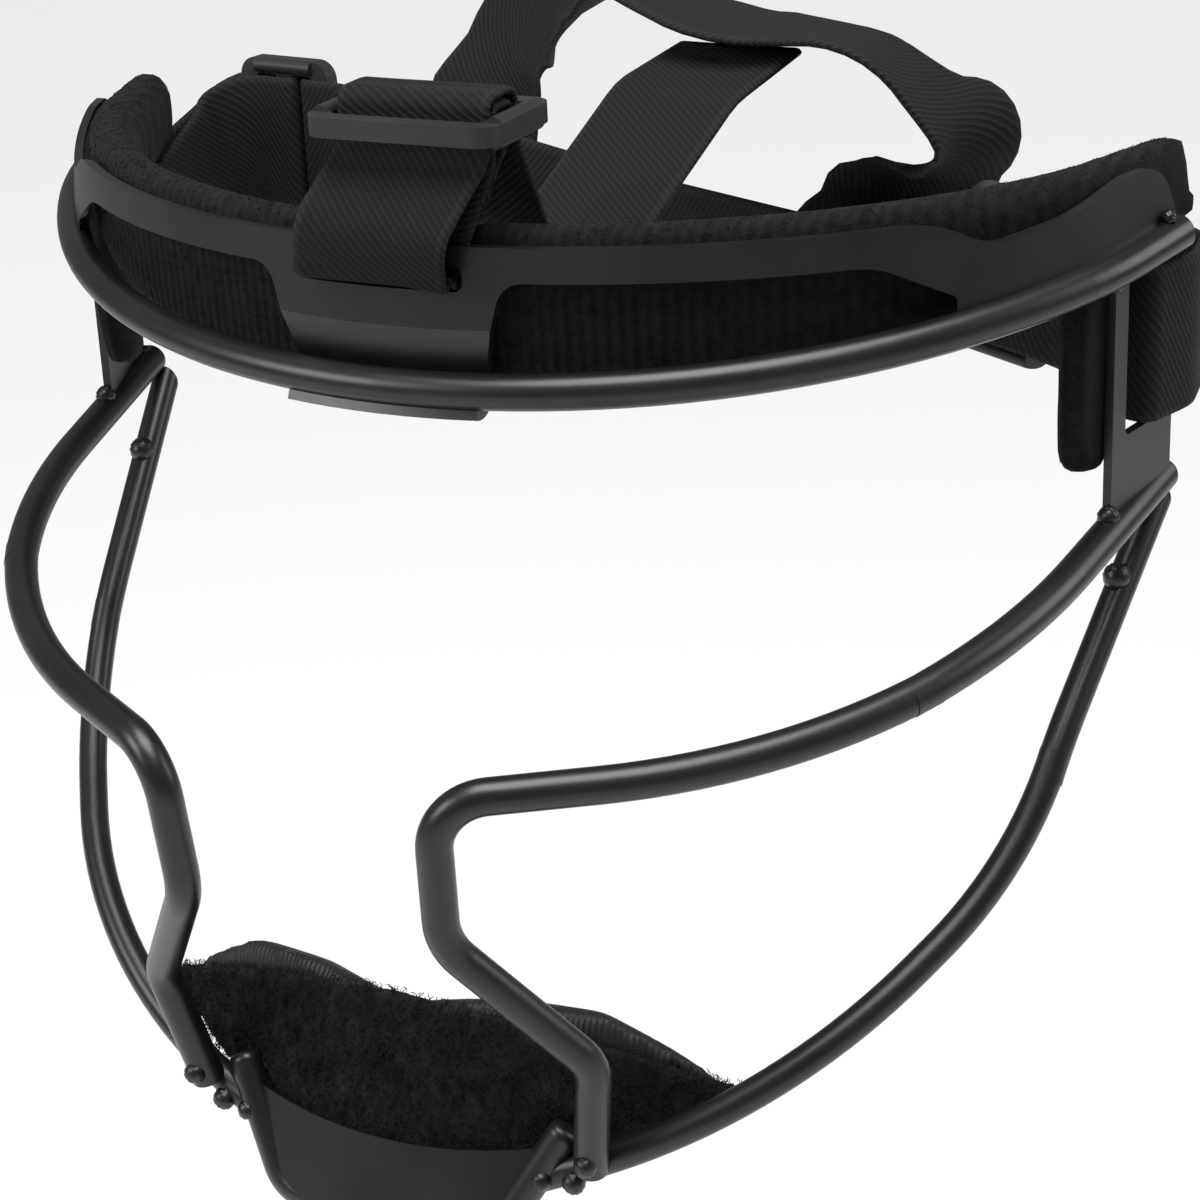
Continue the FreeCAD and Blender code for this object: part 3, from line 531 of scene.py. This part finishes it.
@dataclass
class Webbing:
    """A flat woven strap along a route, or along part of one."""

    width: float = 25.4 * MM
    thick: float = 1.4 * MM
    section: list[tuple[float, float]] = field(init=False)

    def __post_init__(self) -> None:
        """Lay out the section: rounded selvedges, slightly drawn in before each edge."""
        half, flat = self.width / 2, self.thick / 2
        edge, shoulder = half - 0.35 * MM, half - 1.1 * MM
        top = [(-edge, flat * 0.75), (-shoulder, flat), (-half * 0.45, flat * 0.94),
               (0.0, flat * 0.97), (half * 0.45, flat * 0.94), (shoulder, flat),
               (edge, flat * 0.75)]
        self.section = top + [(half, 0.0)] + [(x, -y) for x, y in reversed(top)] + [(-half, 0.0)]

    def build(self, name: str, stations: list[tuple[Vector, Vector, float]]) -> bpy.types.Object:
        """Extrude the section from station to station.

        Args:
            name: The piece's name.
            stations: Point, width direction and distance along.

        Returns:
            The strap.
        """
        mesh = bmesh.new()
        order = mesh.verts.layers.int.new("order")
        along = mesh.verts.layers.float.new("along")
        across = mesh.verts.layers.float.new("across")
        ring = []
        for index, (side, _) in enumerate(self.section):
            vertex = mesh.verts.new((side, 0.0, 0.0))
            vertex[order], vertex[across] = index, side
            ring.append(vertex)
        cap = mesh.faces.new(ring)
        for index, station in enumerate(stations):
            if index:
                grown = bmesh.ops.extrude_face_region(mesh, geom=[cap])
                if index > 1:
                    bmesh.ops.delete(mesh, geom=[cap], context="FACES_ONLY")
                cap = next(item for item in grown["geom"]
                           if isinstance(item, bmesh.types.BMFace))
            near = stations[max(0, index - 1)][0]
            far = stations[min(len(stations) - 1, index + 1)][0]
            ahead = (far - near).normalized()
            sideways = (station[1] - ahead * station[1].dot(ahead)).normalized()
            normal = ahead.cross(sideways)
            for vertex in cap.verts:
                side, rise = self.section[vertex[order]]
                vertex.co = station[0] + sideways * side + normal * rise
                vertex[along] = station[2]
        bmesh.ops.recalc_face_normals(mesh, faces=mesh.faces)
        data = bpy.data.meshes.new(name)
        mesh.to_mesh(data)
        mesh.free()
        for polygon in data.polygons:
            polygon.use_smooth = True
        return new_object(name, data)


@dataclass
class Harness:
    """The webbing and what it does at each slider."""

    finishes: Finishes
    fold_side: float = 1.6 + 0.7 + 0.3
    fold_rise: float = 1.5 + 0.7 + 0.3
    layer: float = 1.7
    left_fold: float = 0.0655
    right_fold: float = -0.0755
    nape_left: float = 0.030
    nape_right: float = -0.040
    seam_rises: tuple = (0.0022, 0.0072)
    seam_lift: float = 0.00078
    seam_half: float = 0.0108

    def build(self) -> None:
        """Make the three straps."""
        self.top()
        self.back()
        self.crown()

    def piece(self, name: str, stations: list, node: str) -> bpy.types.Object:
        """Make one stretch of strap that stands for a node.

        Args:
            name: The piece's name.
            stations: The stretch's stations.
            node: The node that it replaces.

        Returns:
            The piece.
        """
        made = Webbing().build(name, stations)
        self.finishes.dress(made, "webbing")
        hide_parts(node)
        LOG.info("made %s, %d stations", name, len(stations))
        return made

    def top(self) -> None:
        """The strap through the rail's slot, over the top slider and back to the crown."""
        x, y, z = TOP_SLIDER
        one, two = self.fold_side, self.fold_side + self.layer
        low, high = self.fold_rise, self.fold_rise + self.layer
        askew = (0.97, -0.24, 0)
        route = Route([
            ((x - 2.2, y - 2.4, z - 9.4), 0, LEVEL), ((x, y - 0.8, z - 4.7), 4.0, LEVEL),
            ((x, y + one, z - 2.3), 1.5, LEVEL), ((x, y + one, z + low), 1.2, LEVEL),
            ((x, y - one, z + low), 1.2, LEVEL), ((x, y - one - 0.3, z - 4.0), 8.0, LEVEL),
            ((2.2, -72.2, 29.0), 6.0, LEVEL), ((0.3, -72.3, 21.6), 1.7, LEVEL),
            ((0.3, -77.6, 21.4), 1.9, LEVEL), ((1.6, -79.4, 29.0), 9.0, LEVEL),
            ((x, y - two - 0.2, z - 3.4), 6.0, LEVEL),
            ((x, y - two, z + high), 2.2, LEVEL), ((x, y + two, z + high), 2.2, LEVEL),
            ((x, y + two + 0.1, z - 5.0), 8.0, LEVEL), ((9.0, -50.0, 17.5), 12.0, askew),
            ((13.0, -33.0, 19.0), 14.0, askew), ((19.0, -9.0, 35.5), 14.0, askew),
            ((23.0, 8.0, 39.4), 0, (0.9, -0.43, 0))]).stations()
        crest = Vector((x, y, z + high)) * MM
        over = min(range(len(route)), key=lambda k: (route[k][0] - crest).length)
        made = self.piece("top_strap_loop", route[:over + 1], "top_strap")
        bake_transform(made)
        made = self.piece("top_strap_slack", route[over:], "top_strap")
        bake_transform(made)

    @staticmethod
    def side_points(seat: Seat) -> Callable[[float, float], tuple]:
        """Return a function that places points ahead of and behind a slider's centre.

        Args:
            seat: How the slider lies.

        Returns:
            A function of the distances ahead and behind, in mm, that gives a point in mm.
        """
        centre = Vector(seat.centre)
        along = Vector(seat.lean).normalized()
        normal = along.cross(Vector(seat.run)).normalized()
        ahead = normal.cross(along)
        return lambda forward, behind: tuple(
            centre + ahead * forward + normal * seat.rear * behind)

    def slider_route(self, side: Side) -> list[Corner]:
        """Lead the strap round a side slider and the temple plate's rear post.

        Args:
            side: The wearer's side.

        Returns:
            The corners, from the sewn end to the nape.
        """
        at, wide = self.side_points(SEATS[side]), SEATS[side].lean
        one, two = self.fold_side, self.fold_side + self.layer
        low, high = self.fold_rise, self.fold_rise + self.layer
        sewn = [(at(5.4, low), 0, wide), (at(-one, low), 1.2, wide),
                (at(-one, -low), 1.2, wide), (at(11.5, -low), 7.0, wide)]
        round_post = [((side.value * px, py, 0.2), radius, UP) for px, py, radius in POST]
        return sewn + round_post + [
            (at(12.0, high), 8.0, wide), (at(-two, high), 2.2, wide),
            (at(-two - 0.4, -low), 1.8, wide), (at(-13.0, -low), 6.0, wide)]

    def back(self) -> None:
        """The strap from one temple window round the nape to the other."""
        left, right = self.slider_route(Side.LEFT), self.slider_route(Side.RIGHT)
        nape = [((44.0, 8.0, -2.0), 12.0, UP), ((-2.0, 21.5, 0.5), 60.0, UP)]
        route = Route(left + nape + right[::-1]).stations()
        sides, half = [station[0].x for station in route], len(route) // 2
        first = max(k for k in range(half) if sides[k] > self.left_fold)
        last = min(k for k in range(half + 1, len(route)) if sides[k] < self.right_fold)
        inner = min(k for k in range(first, len(route)) if sides[k] < self.nape_left)
        outer = min(k for k in range(inner, len(route)) if sides[k] < self.nape_right)
        made = self.piece("left_strap_loop", route[:first + 1], "back_strap")
        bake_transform(made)
        made = self.piece("left_strap_lead", route[first:inner + 1], "back_strap")
        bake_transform(made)
        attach(self.piece("nape_strap", route[inner:outer + 1], "back_strap"), "frame")
        made = self.piece("right_strap_lead", route[outer:last + 1], "back_strap")
        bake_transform(made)
        made = self.piece("right_strap_loop", route[last:], "back_strap")
        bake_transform(made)

    def crown(self) -> None:
        """The strap that arches over the crown, sewn to the back strap at both ends."""
        run = (0.998, -0.065, 0.0)
        route = Route([
            ((37.5, 14.4, -8.0), 0, run), ((37.8, 14.4, 3.0), 10.0, run),
            ((49.0, 21.0, 13.0), 12.0, (0.7, 0.6, -0.3)),
            ((62.0, 18.0, 23.0), 12.0, (0.3, 0.9, -0.3)),
            ((45.0, 10.0, 41.5), 14.0, (-0.1, 0.98, -0.1)),
            ((22.0, 10.0, 42.6), 20.0, (-0.25, 0.96, 0)),
            ((-4.0, 24.0, 46.0), 30.0, (-0.6, 0.8, 0)),
            ((-31.0, 35.0, 39.0), 18.0, (-0.85, 0.5, 0.1)),
            ((-37.5, 29.5, 21.0), 14.0, (-0.98, 0.12, 0)),
            ((-38.2, 25.0, 9.0), 10.0, (-0.999, 0.047, 0)),
            ((-38.0, 24.8, -1.0), 0, (-0.999, 0.047, 0))]).stations()
        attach(self.piece("crown_strap_band", route, "crown_strap"), "frame")
        for name, end in (("left", route[1]), ("right", route[-2])):
            self.sewn_end(name, end[0], end[1])

    def sewn_end(self, name: str, spot: Vector, width: Vector) -> None:
        """Sew a crown strap end down with two level rows.

        Args:
            name: Which end.
            spot: The strap's middle near that end.
            width: The direction of its width there.
        """
        away = Vector((0, 1, 0)) - width * width.y
        away.normalize()
        for index, rise in enumerate(self.seam_rises):
            middle = spot + Vector(UP) * rise + away * self.seam_lift
            path = [middle + width * side * self.seam_half for side in (-1.0, -0.5, 0.0, 0.5, 1.0)]
            Stitching().row("crown_stitch_%s_%d" % (name, index), path, [away] * len(path),
                            self.finishes, "frame")


@dataclass
class Stitching:
    """Short thread stitches in rows."""

    long: float = 0.0021
    thick: float = 0.00042
    gap: float = 0.0011

    def row(self, name: str, path: list[Vector], outward: list[Vector], finishes: Finishes,
            body: str) -> bpy.types.Object:
        """Lay stitches along a path.

        Args:
            name: The piece's name.
            path: Points that the row follows.
            outward: The direction away from the cloth at each point.
            finishes: The materials.
            body: What the row rides on.

        Returns:
            The stitches as one curve piece.
        """
        curve = bpy.data.curves.new(name, "CURVE")
        curve.dimensions = "3D"
        curve.bevel_depth = self.thick / 2
        curve.bevel_resolution = 1
        pitch, travelled, due = self.long + self.gap, 0.0, 0.0
        for start, end, away in zip(path, path[1:], outward):
            step = (end - start).length
            while due <= travelled + step and step > 0:
                share = (due - travelled) / step
                middle, ahead = start.lerp(end, share), (end - start).normalized()
                spline = curve.splines.new("POLY")
                spline.points.add(2)
                for point, along, rise in zip(spline.points, (-0.5, 0.0, 0.5), (0.0, 0.35, 0.0)):
                    spot = middle + ahead * self.long * along + away * self.thick * rise
                    point.co = (*spot, 1.0)
                due += pitch
            travelled += step
        made = new_object(name, curve)
        finishes.dress(made, "webbing")
        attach(made, body)
        LOG.info("made %s, %d stitches", name, len(curve.splines))
        return made


@dataclass
class Pad:
    """A stuffed piece grown from its node's closed form."""

    name: str
    node: str
    slot: str
    voxel: float
    cap: float
    fill: float
    pressure: float = 4.0
    steps: int = 20

    def build(self, finishes: Finishes) -> bpy.types.Object:
        """Remesh the node's form, swell it with a cloth run and dress it.

        Args:
            finishes: The materials.

        Returns:
            The pad.
        """
        made = new_object(self.name, frame["nodes"][self.node].data.copy())
        self.weld(made)
        self.remesh(made)
        self.swell(made)
        for polygon in made.data.polygons:
            polygon.use_smooth = True
        finishes.dress(made, self.slot)
        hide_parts(self.node)
        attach(made, "frame")
        LOG.info("made %s, %d faces", self.name, len(made.data.polygons))
        return made

    @staticmethod
    def weld(piece: bpy.types.Object) -> None:
        """Merge the loose triangles.

        Args:
            piece: The piece to merge.
        """
        mesh = bmesh.new()
        mesh.from_mesh(piece.data)
        bmesh.ops.remove_doubles(mesh, verts=mesh.verts, dist=MERGE_GAP)
        mesh.to_mesh(piece.data)
        mesh.free()

    def remesh(self, piece: bpy.types.Object) -> None:
        """Even out the faces and round the edges a little."""
        self.apply(piece, "REMESH", mode="VOXEL", voxel_size=self.voxel)
        self.apply(piece, "SMOOTH", factor=0.5, iterations=3)

    @staticmethod
    def apply(piece: bpy.types.Object, kind: str, **values: object) -> None:
        """Add a modifier and bake it into the mesh.

        Args:
            piece: The piece.
            kind: The modifier's type.
            **values: Its settings by name.
        """
        modifier = piece.modifiers.new(kind.lower(), kind)
        for key, value in values.items():
            setattr(modifier, key, value)
        with bpy.context.temp_override(object=piece, active_object=piece):
            bpy.ops.object.modifier_apply(modifier=modifier.name)

    def swell(self, piece: bpy.types.Object) -> None:
        """Fill the pad under pressure and cap how far each point may move.

        Args:
            piece: The pad to fill.
        """
        rest = [vertex.co.copy() for vertex in piece.data.vertices]
        cloth = piece.modifiers.new("filling", "CLOTH")
        cloth.settings.use_pressure = True
        cloth.settings.uniform_pressure_force = self.pressure
        cloth.settings.effector_weights.gravity = 0.0
        cloth.point_cache.frame_end = self.steps
        for step in range(1, self.steps + 1):
            bpy.context.scene.frame_set(step)
        with bpy.context.temp_override(object=piece, active_object=piece):
            bpy.ops.object.modifier_apply(modifier=cloth.name)
        bpy.context.scene.frame_set(1)
        for vertex, start in zip(piece.data.vertices, rest):
            moved = vertex.co - start
            if moved.length > self.cap:
                vertex.co = start + moved.normalized() * self.cap


@dataclass
class Welds:
    """The drops of weld metal, sunk into the joints that they fill."""

    size: float = 0.86
    ripple: float = 0.00012
    ripple_rate: tuple = (4200, 5100, 3700)
    joint_reach: float = 0.0035
    steel: tuple = ("brow_bar", "brow_plate", "temple_plate_left", "temple_plate_right",
                    "cheek_bar_left", "cheek_bar_right", "jaw_bar_left", "jaw_bar_right",
                    "chin_bar", "chin_plate")

    def build(self, finishes: Finishes) -> bpy.types.Object:
        """Seat each drop between the two steel pieces that it joins, and roughen it.

        Args:
            finishes: The materials.

        Returns:
            The welds.
        """
        made = new_object("weld_drops", frame["nodes"]["weld_beads"].data.copy())
        mesh = bmesh.new()
        mesh.from_mesh(made.data)
        bmesh.ops.remove_doubles(mesh, verts=mesh.verts, dist=MERGE_GAP)
        left = set(mesh.verts)
        trees = [self.tree(name) for name in self.steel]
        rate_x, rate_z, rate_y = self.ripple_rate
        while left:
            drop = self.island(min(left, key=lambda v: v.index), left)
            middle = sum((v.co for v in drop), Vector()) / len(drop)
            hits = (tree.find_nearest(middle) for tree in trees)
            near = sorted(hits, key=lambda hit: hit[3])[:2]
            joined = near[1][3] < self.joint_reach
            seat = (near[0][0] + near[1][0]) / 2 if joined else near[0][0]
            LOG.info("weld drop moved %.2f mm", (seat - middle).length / MM)
            for vertex in drop:
                out = (vertex.co - middle) * self.size
                phase = vertex.co.z * rate_z + vertex.co.y * rate_y
                wave = math.sin(vertex.co.x * rate_x) * math.sin(phase)
                vertex.co = seat + out + out.normalized() * wave * self.ripple
        bmesh.ops.recalc_face_normals(mesh, faces=mesh.faces)
        mesh.to_mesh(made.data)
        mesh.free()
        for polygon in made.data.polygons:
            polygon.use_smooth = True
        finishes.dress(made, "weld_paint")
        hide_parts("weld_beads")
        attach(made, "frame")
        LOG.info("made weld_drops")
        return made

    @staticmethod
    def tree(name: str) -> BVHTree:
        """Return a search tree over one steel node.

        Args:
            name: The node.

        Returns:
            The tree.
        """
        mesh = bmesh.new()
        mesh.from_mesh(frame["nodes"][name].data)
        found = BVHTree.FromBMesh(mesh)
        mesh.free()
        return found

    @staticmethod
    def island(start: bmesh.types.BMVert, left: set) -> list:
        """Take the vertices joined to a start out of what is left.

        Args:
            start: The first vertex.
            left: The vertices not yet taken, which shrink.

        Returns:
            The vertices of one drop.
        """
        found, queue = [], [start]
        left.discard(start)
        while queue:
            vertex = queue.pop()
            found.append(vertex)
            for edge in vertex.link_edges:
                other = edge.other_vert(vertex)
                if other in left:
                    left.discard(other)
                    queue.append(other)
        return found


@dataclass
class Pile:
    """Curled fibres that stand on a pad's cloth."""

    name: str
    count: int
    length: float
    curl: float
    thick: float
    seed: int
    joints: int = 4
    sunk: float = 0.0002

    def build(self, pad: bpy.types.Object, slot: str, finishes: Finishes,
              faces: Callable[[Vector, Vector], bool]) -> bpy.types.Object:
        """Grow fibres on the faces that a test accepts.

        Args:
            pad: The piece that they grow on.
            slot: The finish.
            finishes: The materials.
            faces: A test of a face's middle and normal.

        Returns:
            The fibres as one curve piece.
        """
        draw = random.Random(self.seed)
        chosen = [p for p in pad.data.polygons if faces(p.center, p.normal)]
        areas = [p.area for p in chosen]
        curve = bpy.data.curves.new(self.name, "CURVE")
        curve.dimensions = "3D"
        curve.bevel_depth = self.thick / 2
        curve.bevel_resolution = 0
        for polygon in draw.choices(chosen, weights=areas, k=self.count):
            corners = [pad.data.vertices[i].co for i in polygon.vertices]
            weights = [draw.random() for _ in corners]
            total = sum(weights)
            root = sum((c * (w / total) for c, w in zip(corners, weights)), Vector())
            side = polygon.normal.orthogonal().normalized()
            side.rotate(Matrix.Rotation(draw.uniform(0, 2 * math.pi), 3, polygon.normal))
            other = polygon.normal.cross(side)
            spline = curve.splines.new("POLY")
            spline.points.add(self.joints)
            turn, size = draw.uniform(0.5, 1.1) * math.pi, self.curl * draw.uniform(0.6, 1.4)
            for k, point in enumerate(spline.points):
                share = k / self.joints
                angle = turn * share
                lift = self.length * share * draw.uniform(0.75, 1.05) - self.sunk
                spot = root + polygon.normal * lift + side * size * math.sin(angle)
                point.co = (*(spot + other * size * (1 - math.cos(angle)) * 0.6), 1.0)
        made = new_object(self.name, curve)
        finishes.dress(made, slot)
        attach(made, "frame")
        LOG.info("made %s, %d fibres", self.name, self.count)
        return made


@dataclass(frozen=True)
class Studio:
    """The floor, the lamps, the world and the camera."""

    azimuth: float = 27.8
    elevation: float = 22.2
    roll: float = -3.0
    eye: tuple = (0.2132, -0.4303, 0.1384)
    lens: float = 87.0
    sensor: float = 36.0
    shift: tuple = (0.0428, -0.0049)
    floor_size: float = 12.0
    floor_drop: float = 0.10
    floor_glow: float = 0.75
    world_light: float = 0.24

    def build(self) -> None:
        """Set the stage."""
        self.floor()
        self.world()
        self.lamp("overhead", (0.05, -0.20, 0.70), (0, -0.02, 0), 0.55, 10.0)
        self.lamp("front_left", (-0.65, -0.75, 0.45), (0, -0.04, -0.03), 0.45, 6.0)
        self.lamp("right_rear", (0.75, 0.35, 0.35), (0, -0.02, 0), 0.5, 3.5)
        self.camera()
        bpy.context.scene.view_settings.view_transform = "Standard"

    def floor(self) -> None:
        """Lay a plain pale floor below the guard."""
        mesh = bmesh.new()
        bmesh.ops.create_grid(mesh, x_segments=1, y_segments=1, size=self.floor_size)
        bmesh.ops.translate(mesh, verts=mesh.verts, vec=(0, 0, CAD_BOX[0][2] - self.floor_drop))
        data = bpy.data.meshes.new("studio_floor")
        mesh.to_mesh(data)
        mesh.free()
        made = new_object("studio_floor", data)
        sheet = NodeSheet("studio_floor")
        grain = sheet.noise(3.0)
        material = sheet.finish(sheet.ramp(grain, (0.86, 0.86, 0.86), (0.88, 0.88, 0.88)), 0.9,
                                sheet.bump(grain, 0.05, 0.001))
        glow = sheet.node("Emission", Strength=1.0)
        path = sheet.tree.nodes.new("ShaderNodeLightPath")
        seen = sheet.maths("MULTIPLY", path.outputs["Is Camera Ray"], self.floor_glow)
        mix = sheet.tree.nodes.new("ShaderNodeMixShader")
        sheet.fill(mix.inputs[0], seen)
        sheet.tree.links.new(sheet.shader.outputs[0], mix.inputs[1])
        sheet.tree.links.new(glow.outputs[0], mix.inputs[2])
        surface = sheet.tree.nodes["Material Output"].inputs["Surface"]
        sheet.tree.links.new(mix.outputs[0], surface)
        data.materials.append(material)

    def world(self) -> None:
        """Surround the guard with an even pale light that the camera sees as white."""
        world = bpy.data.worlds.new("studio")
        world.use_nodes = True
        back = world.node_tree.nodes["Background"]
        back.inputs["Color"].default_value = (1.0, 1.0, 1.0, 1.0)
        links = world.node_tree.links
        seen = world.node_tree.nodes.new("ShaderNodeLightPath").outputs["Is Camera Ray"]
        level = world.node_tree.nodes.new("ShaderNodeMapRange")
        level.inputs["To Min"].default_value = self.world_light
        level.inputs["To Max"].default_value = 1.0
        links.new(seen, level.inputs["Value"])
        links.new(level.outputs["Result"], back.inputs["Strength"])
        bpy.context.scene.world = world

    @staticmethod
    def lamp(name: str, place: tuple, target: tuple, size: float, power: float) -> None:
        """Add a soft square lamp that looks at a target.

        Args:
            name: The lamp's name.
            place: Where it stands.
            target: What it looks at.
            size: Its side in metres.
            power: Its power in watts.
        """
        light = bpy.data.lights.new(name, "AREA")
        light.size = size
        light.energy = power
        made = new_object(name, light)
        aim = (Vector(place) - Vector(target)).to_track_quat("Z", "Y")
        made.matrix_world = Matrix.Translation(place) @ aim.to_matrix().to_4x4()

    def camera(self) -> None:
        """Put the camera at the photograph's viewpoint."""
        az, el, roll = (math.radians(a) for a in (self.azimuth, self.elevation, self.roll))
        back = Vector((math.sin(az) * math.cos(el), -math.cos(az) * math.cos(el), math.sin(el)))
        right = (-back).cross(Vector(UP)).normalized()
        up = right.cross(-back)
        turned = right * math.cos(roll) + up * math.sin(roll)
        upright = up * math.cos(roll) - right * math.sin(roll)
        data = bpy.data.cameras.new("camera")
        data.sensor_width = self.sensor
        data.lens = self.lens
        data.shift_x, data.shift_y = self.shift
        made = new_object("camera", data)
        facing = Matrix((turned, upright, back)).transposed().to_4x4()
        made.matrix_world = Matrix.Translation(self.eye) @ facing
        bpy.context.scene.camera = made


def main() -> None:
    """Build the pieces in order and report each one."""
    logging.basicConfig(level=logging.INFO)
    finishes = Finishes()
    finishes.dress_nodes()
    Harness(finishes).build()
    Welds().build(finishes)
    brow = Pad("brow_pad", "head_pad", "fleece",
               voxel=0.0022, cap=0.0012, fill=0.8).build(finishes)
    Pad("chin_cushion", "chin_pad_cushion", "knit",
        voxel=0.0016, cap=0.0015, fill=0.85).build(finishes)
    face = Pad("chin_fibre_face", "chin_pad_loop_face", "loop_fibre",
               voxel=0.0007, cap=0.0002, fill=0.4).build(finishes)
    Pile("chin_fibre_pile", count=6500, length=0.0011, curl=0.0007, thick=0.00013, seed=11).build(
        face, "loop_fibre", finishes, lambda middle, normal: normal.y < -0.3 or normal.z > 0.5)
    Pile("brow_nap", count=5000, length=0.0004, curl=0.0004, thick=0.00010, seed=12).build(
        brow, "fleece", finishes, lambda middle, normal: normal.z > 0.25 or normal.y < -0.6)
    Studio().build()


if __name__ == "__main__":
    main()
